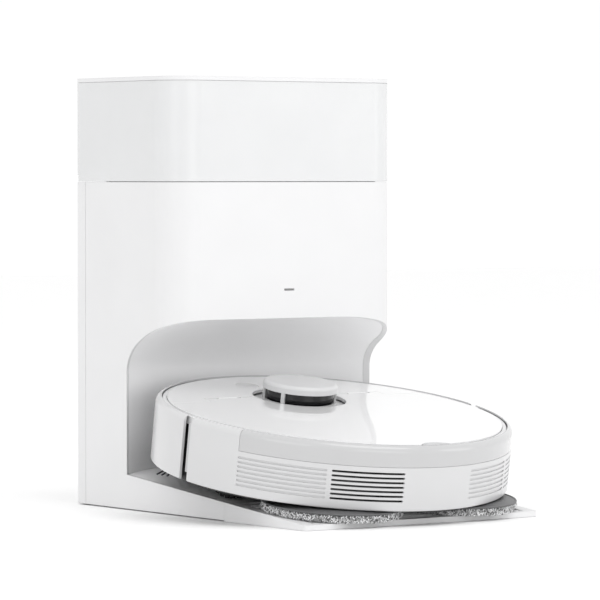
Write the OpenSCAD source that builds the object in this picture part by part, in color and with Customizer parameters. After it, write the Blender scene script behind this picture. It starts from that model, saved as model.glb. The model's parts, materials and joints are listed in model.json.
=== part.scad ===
// Robot vacuum and mop parked in its washing and charging station.
// Millimetres, +Z up, front of the station faces -Y, origin under the middle of the whole object.

/* [Station] */
// Width of the tower and ramp
station_width = 278; // [240:1:320]
// Depth of the tower from its front face to its back
tower_depth = 173; // [150:1:200]
// Height to the top of the hood
station_height = 427; // [400:1:470]
// Height of the seam between tower and hood
hood_seam_z = 324; // [310:1:340]
// Plan radius of the tower's front corners
front_corner_r = 35; // [20:1:40]
// Plan radius of the tower's back corners
back_corner_r = 4; // [3.5:0.5:15]
// How far the ramp reaches in front of the tower
ramp_reach = 218; // [200:1:240]
// Height of the overhang's front lip
lip_z = 189; // [185:1:210]
// Wall thickness of the tower
tower_wall = 4.5; // [2.5:0.5:5]

/* [Robot] */
// Diameter of the robot's body
body_d = 350; // [330:1:360]
// Diameter of the lid and deck disc
deck_d = 328; // [310:1:334]
// Height of the deck above the wheels' contact
deck_z = 82.15; // [75:0.05:90]
// Height of the turret's top above the wheels' contact
turret_top_z = 98.85; // [94:0.05:105]
// Diameter of a mop pad
mop_d = 136; // [130:1:140]
// Nose-up pitch of the parked robot
park_pitch = 8.82; // [5:0.01:10]

/* [Display] */
// Sub-part to draw

/* [Hidden] */
$fn = 96;

// Colours
c_white = [0.95, 0.95, 0.95];
c_soft = [0.88, 0.88, 0.88];
c_grey = [0.55, 0.56, 0.58];
c_dark = [0.12, 0.12, 0.13];
c_rubber = [0.18, 0.18, 0.18];
c_metal = [0.75, 0.75, 0.77];
c_board = [0.1, 0.35, 0.2];
c_smoke = [0.85, 0.87, 0.9, 0.5];
c_blue = [0.6, 0.75, 0.85, 0.7];

// Station lines
half_w = station_width / 2;
seam = 0.6;
gap = 0.2;
body_z = 1.2;
foot_h = 2.65;
foot_r = 8;
screw_head_t = 1.5;
ramp_slope = 0.098;
ramp_ref_y = -64.1;
ramp_ref_z = 20.6;
ramp_split_y = -86;
ramp_front_r = 4;
skirt_back_y = 82.7;
niche_cx = -16;
niche_cy = -87.8;
niche_r = 209.3;
niche_wall_z = 137;
niche_flat_r = 117;
niche_step = 6;
liner_t = 2.5;
cover_y = 156;
cover_t = 3;
inner_wall = tower_wall + gap;
foot_xs = [-118, 118];
foot_ys = [-72, 14, 136];
tray_back_y = cover_y - 2;
rib_x = 66;
rib_t = 6;
rib_shift = 1.5;
rib_y = 30;
rib_y_t = 4;
post_x = 38;
post_y = 58;
post_depth = 18;
post_top = 56.5;
strip_x = 24;
strip_z = 41.05;
strip_ref_y = 70.5;
strip_slope = 0.145;
contact_top = 57.7;
board_x = half_w - 13;
board_back_y = -94;
board_front_y = -212;
board_drop = 4;
board_pitch = 8.4;
ramp_rib_x = 62;
hose_r = 4;
hose_x = 127.5;
hose_z = 207;
hose_low_z = 112;
port_x = 66;
port_y = 122;

screw_x = 118;
screw_zs = [60, 296];
screw_r = 1.6;
fan_x = 44;
fan_z = 72;
outlet_x = 70;

// Hood and its hinge
hood_wall = 3.5;
hood_top_t = 4;
hood_top_z = station_height - hood_top_t;
hinge_y = 168.5;
hinge_z = 330.5;
hinge_r = 4.2;
hinge_pin_r = 1.5;
hinge_fit = 0.05;
hinge_x = 96;
knuckle_len = 16;

// Tanks
tank_in_x = 3;
tank_out_x = 129;
tank_front_y = 14;
tank_back_y = 140;
tank_bottom_z = 216;
tank_top_z = 355;
tank_r = 24;
tank_wall = 2.5;
well_gap = 1;
well_wall = 1.8;
well_floor_t = 2;
deck_t = 6;
filler_r = 22;
cap_r = 27;
cap_t = 6;
cap_y = 58;
cap_hinge_y = 89;
cap_hinge_z = tank_top_z + 3.2;
bail_y = 103;
bail_z = tank_top_z + 4.5;
bail_half = 40;
bail_len = 30;
bail_r = 3;

// Parking place of the robot: its wheel contact point in the tower's lines
park_y = -62.9;
park_z = 20.7;
mop_tilt = 3.22;
clear = 0.3;

// Robot lines
body_r = body_d / 2;
deck_r = deck_d / 2;
shell_bottom = 20.15;
rim_top = 82.6;
shell_wall = 2.8;
rim_in_r = 169.2;
ledge_r = 168.3;
ledge_z = 80.6;
rim_low_z = 81;
rim_steps = 12;
seat_depth = 1.8;
window_depth = 1.7;
window_sink = 0.1;
seat_gap = 0.15;
tongue_in_r = 170.9;
tongue_out_r = 173.3;
tongue_low = 28.5;
tongue_high = 75;
eye_half_angle = 30;
eye_low = 50;
eye_high = 72;
under_z = 18.6;
under_mop_z = 20.6;
plate_t = 2.6;
deck_t_robot = 3;
deck_bottom = deck_z - deck_t_robot;
frame_floor_z = 73;
frame_floor_t = 3;
turret_foot = frame_floor_z + frame_floor_t;
shell_half_angle = 87.3;
bumper_half_angle = 88.8;
window_half_angle = 66.7;
window_low = 62.15;
window_high = 77.65;
grille_pitch = 4.35;
grille_slot = 2;
grille_low = 30.1;
grille_rows = 7;
grille_cut = 1.2;
turret_y = 59.4;
turret_r = 37;
recess_r = 46;
window_r = 34.5;
window_top = 90.8;
hinge_lid_y = 71;
hinge_lid_z = 81.45;
lid_edge_gap = 0.2;
deck_edge_gap = 1.05;
barrel_r = 1;
barrel_bore = 0.55;
barrel_len = 22;
barrel_xs = [-90, 68];
lid_side_y = 58;
lid_tab_x = 106;
lid_gap = 0.5;
bin_x = 68;
bin_back_y = -64;
bin_front_y = 8;
button_r = 11;
button_x = 18;
button_y = 124;
wheel_r = 35.6;
well_x = 84.3;
trunnion_r = 4;
axle_z = 36;
wheel_in_x = 105;
wheel_out_x = 125;
tyre_t = 6;
caster_y = 140;
caster_trail = 5;
caster_r = 13;
brush_y = 34;
brush_z = 23;
brush_r = 20;
brush_half = 80;
side_brush_x = -100;
side_brush_y = 105;
side_brush_reach = 49;
mop_x = 69;
mop_y = -102;
mop_r = mop_d / 2;
pad_t = 7.5;
disc_t = 2.6;
mop_pivot_y = -2;
mop_pivot_z = 30;

// The whole object's middle in plan is put on the origin
rim_r = 7;
tail_y = park_y - (body_r - rim_r) * cos(park_pitch) - (rim_top - rim_r) * sin(park_pitch) - rim_r;
centre_shift = -(tail_y + tower_depth + screw_head_t) / 2;

function ramp_z(y) = ramp_ref_z + ramp_slope * (y - ramp_ref_y);

module dock() translate([0, centre_shift, 0]) children();

module robot() dock() translate([0, park_y, park_z]) rotate([park_pitch, 0, 0]) children();

module mops() robot() rotate([-mop_tilt, 0, 0]) children();

// Draws a side profile given in (Y, Z) as a block from x0 to x1
module side_block(x0, x1)
    translate([x0, 0, 0]) rotate([90, 0, 90]) linear_extrude(x1 - x0) children();

// Plan of the tower, set in from its outside face
module tower_plan(inset, back, back_r) {
    w = half_w - inset;
    rf = front_corner_r - inset;
    union() {
        translate([-w, inset + rf]) square([2 * w, back - back_r - rf - inset]);
        translate([-w + rf, inset]) square([2 * (w - rf), rf + 1]);
        translate([-w + back_r, back - back_r - 1]) square([2 * (w - back_r), back_r + 1]);
        for (s = [-1, 1]) translate([s * (w - rf), inset + rf]) circle(rf);
        for (s = [-1, 1]) translate([s * (w - back_r), back - back_r]) circle(back_r);
    }
}

// Plan of a rounded rectangle
module round_rect(x0, x1, y0, y1, r) {
    union() {
        translate([x0 + r, y0]) square([x1 - x0 - 2 * r, y1 - y0]);
        translate([x0, y0 + r]) square([x1 - x0, y1 - y0 - 2 * r]);
        for (x = [x0 + r, x1 - r]) for (y = [y0 + r, y1 - r]) translate([x, y]) circle(r);
    }
}

// The bay the robot noses into: a round wall that rolls over into the flat ceiling
module niche(grow) translate([niche_cx, niche_cy, 0]) rotate_extrude($fn = 180) polygon(concat(
    [[0, -2], [niche_r + grow, -2]],
    [for (a = [0 : niche_step : 90]) [
        niche_flat_r + (niche_r - niche_flat_r + grow) * cos(a),
        niche_wall_z + (lip_z - niche_wall_z + grow) * sin(a)]],
    [[0, lip_z + grow]]
));

// ---------------------------------------------------------------- station

module tower_shell() color(c_white) dock() {
    difference() {
        translate([0, 0, body_z]) linear_extrude(hood_seam_z - seam / 2 - body_z)
            tower_plan(0, tower_depth, back_corner_r);
        translate([0, 0, body_z - 1]) linear_extrude(hood_seam_z)
            tower_plan(tower_wall, tower_depth + 40, back_corner_r);
        niche(0);
        translate([-half_w - 1, cover_y - gap, 0]) cube([station_width + 2, 20, hood_seam_z]);
        translate([-6, -1, 216.3]) cube([12, 3, 2]);
    }
    // Skirts that close the sides of the base
    for (x = [-half_w, half_w - tower_wall]) side_block(x, x + tower_wall) polygon([
        [ramp_split_y, body_z], [skirt_back_y, body_z],
        [skirt_back_y, ramp_z(skirt_back_y)], [ramp_split_y, ramp_z(ramp_split_y)]]);
    // Bosses the back cover is screwed to
    for (s = [-1, 1]) for (z = screw_zs) difference() {
        translate([s > 0 ? screw_x - 6 : -half_w + 1, cover_y - 10.4, z - 5])
            cube([half_w - screw_x + 5, 10.2, 10]);
        translate([s * screw_x, cover_y - 12, z]) rotate([-90, 0, 0]) cylinder(r = screw_r + 0.05, h = 20);
    }
}

module bay_liner() color(c_white) dock() difference() {
    intersection() {
        translate([0, 0, 20]) linear_extrude(lip_z)
            tower_plan(inner_wall, cover_y, back_corner_r);
        niche(liner_t);
    }
    niche(0);
    side_block(-150, 150) polygon([[-20, 0], [cover_y + 10, 0],
        [cover_y + 10, ramp_z(cover_y + 10) + gap], [-20, ramp_z(-20) + gap]]);
    // Warm air outlet
    translate([outlet_x, 60, fan_z]) rotate([-90, 0, 0]) cylinder(r = 9, h = 80);
}

// Upper face of the tray's hollows, in (Y, Z)
function hollow(y0, y1) = [[y0, 0], [y1, 0], [y1, ramp_z(y1) - 3.5], [y0, ramp_z(y0) - 3.5]];

module base_tray() color(c_soft) dock() {
    difference() {
        side_block(-half_w + inner_wall, half_w - inner_wall) polygon([
            [ramp_split_y + gap, body_z], [tray_back_y, body_z],
            [tray_back_y, ramp_z(tray_back_y)], [ramp_split_y + gap, ramp_z(ramp_split_y + gap)]]);
        // Hollow underside between ribs
        for (i = [-2 : 1]) for (h = [[-82, rib_y], [rib_y + rib_y_t, 148]])
            side_block(i * rib_x + rib_t / 2 + rib_shift, (i + 1) * rib_x - rib_t / 2 + rib_shift)
                polygon(hollow(h[0], h[1]));
        // Drain channel behind the washboard
        side_block(-100, 100) polygon([[-76, ramp_z(-76) - 2], [-70, ramp_z(-70) - 2], [-70, 60], [-76, 60]]);
        // Room for the power inlet
        translate([-98, 143, 20]) cube([34, 20, 40]);
    }
    // Bosses the feet are glued under
    for (x = foot_xs) for (y = foot_ys) translate([x, y, foot_h + 0.05])
        cylinder(r = foot_r + 1.5, h = ramp_z(y) - foot_h - 2);
}

// Raised block with the charging contacts, and the strip that carries the caster wheel
module contact_block() color(c_soft) dock() difference() {
    union() {
        side_block(-strip_x, strip_x) polygon([
            [48, ramp_z(48) + 0.05], [106, ramp_z(106) + 0.05],
            [106, strip_z + strip_slope * (106 - strip_ref_y)],
            [48, strip_z + strip_slope * (48 - strip_ref_y)]]);
        side_block(-post_x - 8, post_x + 8) polygon([
            [post_y, ramp_z(post_y) + 0.05], [post_y + post_depth, ramp_z(post_y + post_depth) + 0.05],
            [post_y + post_depth, ramp_z(post_y + post_depth) + 3], [post_y, ramp_z(post_y) + 3]]);
        for (x = [-post_x, post_x]) side_block(x - 8, x + 8) polygon([
            [post_y, ramp_z(post_y) + 0.05], [post_y + post_depth, ramp_z(post_y + post_depth) + 0.05],
            [post_y + post_depth, post_top], [post_y, post_top]]);
    }
    // Pockets for the sprung contact plates
    for (x = [-post_x, post_x]) translate([x - 5.5, post_y + 2.5, 46]) cube([11, 13, 20]);
}

module ramp_plan() union() {
    translate([-half_w, -ramp_reach + ramp_front_r])
        square([station_width, ramp_reach - ramp_front_r + ramp_split_y - gap]);
    translate([-half_w + ramp_front_r, -ramp_reach])
        square([station_width - 2 * ramp_front_r, ramp_front_r + 1]);
    for (s = [-1, 1]) translate([s * (half_w - ramp_front_r), -ramp_reach + ramp_front_r])
        circle(ramp_front_r);
}

module ramp_plate() color(c_white) dock() difference() {
    intersection() {
        translate([0, 0, 0.2]) linear_extrude(30) ramp_plan();
        side_block(-150, 150) polygon([[-ramp_reach - 1, 0], [ramp_split_y, 0],
            [ramp_split_y, ramp_z(ramp_split_y)], [-ramp_reach - 1, ramp_z(-ramp_reach - 1)]]);
    }
    side_block(-board_x, board_x) polygon([[board_front_y, ramp_z(board_front_y) - board_drop],
        [board_back_y, ramp_z(board_back_y) - board_drop], [board_back_y, 50], [board_front_y, 50]]);
    // Hollow underside between ribs
    for (i = [-2 : 1]) side_block(i * ramp_rib_x + rib_t / 2, (i + 1) * ramp_rib_x - rib_t / 2) polygon([
        [-170, -1], [-98, -1],
        [-98, ramp_z(-98) - board_drop - 2.5], [-170, ramp_z(-170) - board_drop - 2.5]]);
}

module washboard() color(c_soft) dock() union() {
    side_block(-board_x + 0.3, board_x - 0.3) polygon([
        [board_front_y + 0.3, ramp_z(board_front_y) - board_drop + 0.1],
        [board_back_y - 0.3, ramp_z(board_back_y) - board_drop + 0.1],
        [board_back_y - 0.3, ramp_z(board_back_y) - board_drop + 2],
        [board_front_y + 0.3, ramp_z(board_front_y) - board_drop + 2]]);
    for (y = [board_front_y + 4 : board_pitch : board_back_y - 5])
        side_block(-board_x + 4, board_x - 4) polygon([
        [y - 1.6, ramp_z(y) - board_drop + 1], [y + 1.6, ramp_z(y) - board_drop + 1],
        [y + 1.1, ramp_z(y) - 0.2], [y - 1.1, ramp_z(y) - 0.2]]);
}

module rear_cover() color(c_white) dock() {
    difference() {
        translate([0, 0, body_z]) linear_extrude(hood_seam_z - seam / 2 - body_z)
            tower_plan(0, tower_depth, back_corner_r);
        translate([0, 0, body_z - 1]) linear_extrude(hood_seam_z)
            tower_plan(cover_t, tower_depth - cover_t, back_corner_r - cover_t);
        translate([-150, -10, 0]) cube([300, cover_y + gap + 10, 400]);
        // Cooling slots
        for (i = [0 : 9]) translate([20, 150, 70 + i * 8]) cube([80, 30, 3]);
        // Opening for the power inlet
        translate([-97, 150, 28]) cube([32, 30, 24]);
        // Screw holes
        for (x = [-screw_x, screw_x]) for (z = screw_zs) translate([x, 150, z]) rotate([-90, 0, 0])
            cylinder(r = screw_r + 0.3, h = 30);
    }
    // Fixed hinge knuckles that stand up from the back wall
    for (x = [-hinge_x, hinge_x]) difference() {
        union() {
            translate([x - knuckle_len / 2, hinge_y, hinge_z]) rotate([0, 90, 0])
                cylinder(r = hinge_r, h = knuckle_len);
            translate([x - knuckle_len / 2, hinge_y - 3.5, hinge_z - 18]) cube([knuckle_len, 7, 16]);
        }
        translate([x - knuckle_len / 2 - 1, hinge_y, hinge_z]) rotate([0, 90, 0])
            cylinder(r = hinge_pin_r, h = knuckle_len + 2);
    }
}

module tank_deck() color(c_white) dock() difference() {
    union() {
        intersection() {
            translate([0, 0, hood_seam_z - seam / 2 - deck_t]) linear_extrude(deck_t)
                tower_plan(inner_wall, tower_depth, back_corner_r);
            translate([-150, 0, 0]) cube([300, cover_y - 7, 400]);
        }
        for (s = [0, 1]) mirror([s, 0, 0])
            translate([0, 0, tank_bottom_z - well_floor_t - 0.3])
                linear_extrude(hood_seam_z - 3 - tank_bottom_z + well_floor_t + 0.3) round_rect(
                    tank_in_x - well_gap - well_wall, tank_out_x + well_gap + well_wall,
                    tank_front_y - well_gap - well_wall, tank_back_y + well_gap + well_wall,
                    tank_r + well_gap);
    }
    for (s = [0, 1]) mirror([s, 0, 0]) {
        translate([0, 0, tank_bottom_z - 0.3]) linear_extrude(200) round_rect(
            tank_in_x - well_gap, tank_out_x + well_gap,
            tank_front_y - well_gap, tank_back_y + well_gap, tank_r + well_gap - well_wall);
        // Port for the hose under the tank
        translate([port_x, port_y, 200]) cylinder(r = hose_r + 0.2, h = 30);
    }
}

module status_light() color(c_dark) dock() translate([-5, 0.1, 216.5]) cube([10, 1.8, 1.6]);

module power_inlet() color(c_dark) dock() union() {
    difference() {
        translate([-96.6, 145, 28.4]) cube([31.2, tower_depth - 145, 23.2]);
        translate([-93, 150, 31]) cube([24, 30, 18]);
    }
    // Three blades of the inlet
    for (p = [[-87, 37], [-75, 37], [-81, 43]]) translate([p[0] - 1, 149, p[1] - 2]) cube([2, 13, 4]);
}

module control_board() color(c_board) dock() union() {
    translate([-55, 146, 100]) cube([90, 1.6, 70]);
    for (p = [[-45, 110], [-20, 120], [8, 108]]) translate([p[0], 142.6, p[1]]) cube([16, 3.5, 16]);
    for (x = [-40 : 14 : 20]) translate([x, 139, 150]) cube([9, 7.1, 8]);
}

// Two small pumps: one feeds clean water, one draws the used water back
module water_pumps() color(c_dark) dock() for (s = [-1, 1]) union() {
    translate([s * 106, 128, 120]) cylinder(r = 13, h = 42);
    translate([s * 106 - 16, 113, 104]) cube([32, 30, 17]);
    for (dx = [-8, 8]) translate([s * 106 + dx, 128, 92]) cylinder(r = 3, h = 13);
}

module water_hoses() color(c_smoke) dock() for (s = [-1, 1]) {
    // From the tank's port down to the pump
    difference() {
        union() {
            translate([s * port_x, port_y, hose_z]) cylinder(r = hose_r, h = 8.7);
            translate([s * port_x, port_y, hose_z]) sphere(r = hose_r);
            translate([s * port_x, port_y, hose_z]) rotate([0, s * 90, 0])
                cylinder(r = hose_r, h = hose_x - port_x);
            translate([s * hose_x, port_y, hose_z]) sphere(r = hose_r);
            translate([s * hose_x, port_y, hose_low_z]) cylinder(r = hose_r, h = hose_z - hose_low_z);
            translate([s * hose_x, port_y, hose_low_z]) sphere(r = hose_r);
            translate([s * hose_x, port_y, hose_low_z]) rotate([0, -s * 90, 0]) cylinder(r = 3, h = 5.3);
        }
        translate([s * port_x, port_y, hose_z + 1]) cylinder(r = 2.5, h = 11);
    }
    // From the pump down to the base
    translate([s * 98, 128, 56]) cylinder(r = hose_r, h = 35.5);
}

module dryer_fan() color(c_dark) dock() union() {
    difference() {
        translate([fan_x, 126, fan_z]) rotate([-90, 0, 0]) cylinder(r = 26, h = 20);
        translate([fan_x, 138, fan_z]) rotate([-90, 0, 0]) cylinder(r = 14, h = 20);
    }
    translate([fan_x, 137, fan_z]) rotate([-90, 0, 0]) cylinder(r = 6, h = 8);
    translate([fan_x + 18, 126, fan_z - 7]) cube([18, 14, 14]);
    translate([outlet_x, 112, fan_z]) rotate([-90, 0, 0]) cylinder(r = 7, h = 17);
}

module contact_plates() color(c_metal) dock() for (x = [-38, 38]) union() {
    translate([x - 5, 61, 52]) cube([10, 12, contact_top - 52]);
    translate([x, 67, contact_top - 0.1]) intersection() {
        cylinder(r = 5, h = 4);
        translate([0, 0, -10]) sphere(r = 11.6);
    }
}

module station_feet() color(c_rubber) dock()
    for (x = [-118, 118]) for (y = foot_ys) translate([x, y, 0]) cylinder(r = foot_r, h = foot_h);

module cover_screws() color(c_metal) dock()
    for (x = [-screw_x, screw_x]) for (z = screw_zs) translate([x, 0, z]) rotate([-90, 0, 0]) difference() {
        union() {
            translate([0, 0, cover_y - 9]) cylinder(r = 1.6, h = tower_depth - cover_y + 9.5);
            translate([0, 0, tower_depth + 0.1]) cylinder(r = 3, h = screw_head_t - 0.1);
        }
        translate([-2, -0.4, tower_depth + screw_head_t - 0.6]) cube([4, 0.8, 2]);
        translate([-0.4, -2, tower_depth + screw_head_t - 0.6]) cube([0.8, 4, 2]);
    }

module hinge_pins() color(c_metal) dock() for (x = [-hinge_x, hinge_x])
    translate([x - knuckle_len / 2, hinge_y, hinge_z]) rotate([0, 90, 0])
        cylinder(r = hinge_pin_r - 0.01, h = 2 * knuckle_len);

// A tank standing on the +X side
module tank_body() difference() {
    union() {
        translate([0, 0, tank_bottom_z]) linear_extrude(tank_top_z - tank_bottom_z)
            round_rect(tank_in_x, tank_out_x, tank_front_y, tank_back_y, tank_r);
        // Brackets the carrying handle turns in
        for (x = [-bail_half - 4, bail_half]) translate([66 + x, bail_y - 4, tank_top_z - 1])
            cube([4, 8, 10]);
        // Brackets the filler cap turns in
        for (x = [-14, 10]) translate([66 + x, cap_hinge_y - 2.5, tank_top_z - 1]) cube([4, 5, 7]);
    }
    translate([0, 0, tank_bottom_z + tank_wall]) linear_extrude(tank_top_z - tank_bottom_z - 2 * tank_wall)
        round_rect(tank_in_x + tank_wall, tank_out_x - tank_wall,
            tank_front_y + tank_wall, tank_back_y - tank_wall, tank_r - tank_wall);
    translate([66, cap_y, tank_top_z - 10]) cylinder(r = filler_r, h = 30);
    translate([66 - 60, bail_y, bail_z]) rotate([0, 90, 0]) cylinder(r = 1.55, h = 120);
    translate([66 - 20, cap_hinge_y, cap_hinge_z]) rotate([0, 90, 0]) cylinder(r = 1.05, h = 40);
    translate([port_x, port_y, tank_bottom_z - 1]) cylinder(r = 3.2, h = 10);
}

module cap_body() union() {
    difference() {
        translate([66, cap_y, tank_top_z + 0.4]) cylinder(r = cap_r, h = cap_t);
        translate([66, cap_y, tank_top_z + 3.4]) cylinder(r = cap_r - 6, h = cap_t);
    }
    translate([66, cap_y, tank_top_z - 5]) cylinder(r = filler_r - 0.8, h = 6);
    difference() {
        union() {
            translate([66 - 8, cap_y + 20, tank_top_z + 1]) cube([16, cap_hinge_y - cap_y - 20, 4.2]);
            translate([66 - 9.5, cap_hinge_y, cap_hinge_z]) rotate([0, 90, 0]) cylinder(r = 2.2, h = 19);
        }
        translate([66, cap_y, tank_top_z + 3.4]) cylinder(r = cap_r - 6, h = cap_t);
    }
    translate([66 - 13.5, cap_hinge_y, cap_hinge_z]) rotate([0, 90, 0]) cylinder(r = 1, h = 27);
}

module bail_body() union() {
    for (x = [-bail_half + 4, bail_half - 4]) translate([66 + x, bail_y, bail_z]) {
        rotate([-90, 0, 0]) cylinder(r = bail_r, h = bail_len);
        sphere(r = bail_r);
        translate([0, bail_len, 0]) sphere(r = bail_r);
    }
    translate([66 - bail_half + 4, bail_y + bail_len, bail_z]) rotate([0, 90, 0])
        cylinder(r = bail_r, h = 2 * bail_half - 8);
    for (x = [-bail_half - 3.5, bail_half - 4]) translate([66 + x, bail_y, bail_z]) rotate([0, 90, 0])
        cylinder(r = 1.5, h = 7.5);
}

module used_tank() color(c_smoke) dock() mirror([1, 0, 0]) tank_body();

module used_tank_cap() color(c_grey) dock() mirror([1, 0, 0]) cap_body();

module used_tank_handle() color(c_grey) dock() mirror([1, 0, 0]) bail_body();

module clean_tank() color(c_blue) dock() tank_body();

module clean_tank_cap() color(c_soft) dock() cap_body();

module clean_tank_handle() color(c_soft) dock() bail_body();

module hood() color(c_smoke) dock() union() {
    difference() {
        translate([0, 0, hood_seam_z + seam / 2])
            linear_extrude(hood_top_z - gap - hood_seam_z - seam / 2)
            tower_plan(0, tower_depth, back_corner_r);
        translate([0, 0, hood_seam_z - 1]) linear_extrude(hood_top_z - 2.5 - hood_seam_z + 1)
            tower_plan(hood_wall, tower_depth - hood_wall, back_corner_r - 3);
        // The back stays above the hinge line so the hood can swing
        translate([-150, hinge_y, 300]) cube([300, 20, hinge_z - 300]);
        translate([-half_w + 12, hinge_y - 12, 300])
            cube([2 * half_w - 24, 30, hinge_z + 5.5 - 300]);
    }
    // Hinge knuckles of the hood
    for (x = [-hinge_x, hinge_x]) difference() {
        union() {
            translate([x + knuckle_len / 2 + 0.4, hinge_y, hinge_z]) rotate([0, 90, 0])
                cylinder(r = hinge_r, h = knuckle_len);
            translate([x + knuckle_len / 2 + 0.4, hinge_y + 0.9, hinge_z]) cube([knuckle_len, 3.3, 8]);
        }
        translate([x + knuckle_len / 2 - 1, hinge_y, hinge_z]) rotate([0, 90, 0])
            cylinder(r = hinge_pin_r + hinge_fit, h = knuckle_len + 4);
    }
}

module hood_top() color(c_white) dock() translate([0, 0, hood_top_z]) linear_extrude(hood_top_t)
    tower_plan(0, tower_depth, back_corner_r);

// ------------------------------------------------------------------ robot

// A ring sector centred on an angle measured from the tail, its profile given in (radius, Z)
module sector(half_angle, middle = 270) rotate([0, 0, middle - half_angle])
    rotate_extrude(angle = 2 * half_angle, $fn = 180) children();

// Side wall of the body with its rounded rim
module shell_profile() union() {
    translate([body_r - shell_wall, shell_bottom]) square([shell_wall, rim_top - rim_r - shell_bottom]);
    intersection() {
        translate([body_r - rim_r, rim_top - rim_r]) circle(rim_r);
        union() {
            translate([rim_in_r, rim_low_z]) square([20, 20]);
            translate([body_r - shell_wall, rim_top - rim_r - 0.5]) square([10, 20]);
        }
    }
}

// Points of an arc about the rim's middle, in (radius, Z)
function rim_arc(r, from, to) = [for (i = [0 : rim_steps]) let (a = from + (to - from) * i / rim_steps)
    [body_r - rim_r + r * cos(a), rim_top - rim_r + r * sin(a)]];

// Skin that follows the side wall and rim between two depths, up to an angle round the rim
module band_profile(deep, shallow, low, deep_end, shallow_end) polygon(concat(
    [[body_r - deep, low], [body_r - shallow, low]],
    rim_arc(rim_r - shallow, 0, shallow_end),
    rim_arc(rim_r - deep, deep_end, 0)
));

// Angle round the rim at which an arc of this radius meets the rim's inner edge
function rim_end(r) = acos((rim_in_r - body_r + rim_r) / r);

module slots(from_angle, to_angle, inner) for (i = [0 : grille_rows - 1])
    rotate([0, 0, 270 + from_angle]) rotate_extrude(angle = to_angle - from_angle, $fn = 180)
        translate([inner, grille_low + i * grille_pitch - grille_slot / 2]) square([10, grille_slot]);

module rear_shell() color(c_white) robot() union() {
    difference() {
        sector(shell_half_angle) shell_profile();
        // Seat of the window band
        sector(window_half_angle) band_profile(seat_depth, -1, window_low, 80, 80);
        // Air outlet, and three matching groups of blind slots
        slots(-36.2, -12.9, body_r - 5);
        slots(-66.7, -37.7, body_r - grille_cut);
        slots(12.9, 36.2, body_r - grille_cut);
        slots(37.7, 66.7, body_r - grille_cut);
    }
    // Tongues that reach into the gaps beside the sprung bumper
    for (s = [-1, 1]) sector(1.7, 270 + s * (shell_half_angle + 0.2))
        translate([tongue_in_r, tongue_low]) square([tongue_out_r - tongue_in_r, tongue_high - tongue_low]);
}

module rear_window() color(c_soft) robot() sector(window_half_angle - 0.1)
    band_profile(window_depth, window_sink, window_low + seat_gap,
        rim_end(rim_r - window_depth), rim_end(rim_r - window_sink));

module bumper() color(c_white) robot() difference() {
    sector(bumper_half_angle, 90) shell_profile();
    sector(eye_half_angle + 0.2, 90)
        translate([body_r - seat_depth, eye_low]) square([5, eye_high - eye_low]);
}

module bumper_window() color(c_dark) robot() sector(eye_half_angle, 90)
    translate([body_r - window_depth, eye_low + 0.2])
        square([window_depth - window_sink, eye_high - eye_low - 0.4]);

module wheel_wells() for (s = [-1, 1])
    translate([s > 0 ? well_x : -129, -41, 0]) cube([129 - well_x, 82, 60]);

module chassis() color(c_dark) robot() {
    difference() {
        union() {
            translate([0, 0, under_z]) cylinder(r = 172, h = under_mop_z + plate_t - under_z);
            // Ring wall, set in for the sprung bumper
            difference() {
                translate([0, 0, under_mop_z]) cylinder(r = 167.8, h = frame_floor_z - gap - under_mop_z);
                translate([0, 0, under_mop_z + plate_t]) cylinder(r = 165, h = 80);
                // Exhaust window behind the slots
                sector(24 / 2, 270 - 24.5) translate([150, 28]) square([30, 32]);
            }
            // Housings of the caster and the side brush
            translate([0, caster_y, under_mop_z]) cylinder(r = 23, h = 18);
            translate([side_brush_x, side_brush_y, under_mop_z]) cylinder(r = 13, h = 14);
        }
        // The skirt is set in behind the bumper so that it can travel
        translate([0, 0, under_z - 1]) intersection() {
            difference() {
                cylinder(r = 180, h = 10);
                cylinder(r = 168, h = 30, center = true);
            }
            translate([-200, -7, 0]) cube([400, 200, 10]);
        }
        wheel_wells();
        // Recess over the mops
        for (s = [-1, 1]) translate([s * mop_x, mop_y, under_z - 1])
            cylinder(r = mop_r + 5, h = under_mop_z - under_z + 1);
        // Openings for the mop carrier, brush, caster and side brush
        translate([-104, -136, 0]) cube([208, 84, 60]);
        for (s = [-1, 1]) translate([s * 77 - 5.5, -60, 0]) cube([11, 68, 42]);
        translate([-brush_half - 3, brush_y - brush_r - 3, 0])
            cube([2 * brush_half + 6, 2 * brush_r + 6, 60]);
        translate([0, caster_y, 0]) cylinder(r = 20, h = 30);
        translate([0, caster_y, 0]) cylinder(r = 4.06, h = 38);
        translate([side_brush_x, side_brush_y, 0]) cylinder(r = 10, h = 22);
        translate([side_brush_x, side_brush_y, 0]) cylinder(r = 4.06, h = 32);
        // Charging contact pads over the station's posts
        for (x = [-38, 38]) translate([x, 134, under_z - 1]) cylinder(r = 7, h = 1.2);
    }
    // Upright plates that rock on the wheel units
    for (s = [-1, 1]) difference() {
        translate([s * 83.95 - 1.25, -9, under_mop_z]) cube([2.5, 18, 24.4]);
        translate([s * 80, 0, axle_z]) rotate([0, s * 90, 0]) cylinder(r = trunnion_r + 0.05, h = 10);
    }
}

module upper_frame() color(c_soft) robot() difference() {
    translate([0, 0, frame_floor_z]) cylinder(r = ledge_r, h = ledge_z - frame_floor_z);
    translate([0, 0, frame_floor_z + frame_floor_t]) cylinder(r = deck_r + 0.4, h = 10);
    translate([-bin_x - 1, bin_back_y - 1, 60])
        cube([2 * bin_x + 2, bin_front_y - bin_back_y + 2, 30]);
    translate([0, turret_y, 60]) cylinder(r = 30, h = 30);
    for (x = [-button_x, button_x]) translate([x, button_y, 60]) cylinder(r = 4.5, h = 30);
}

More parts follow.
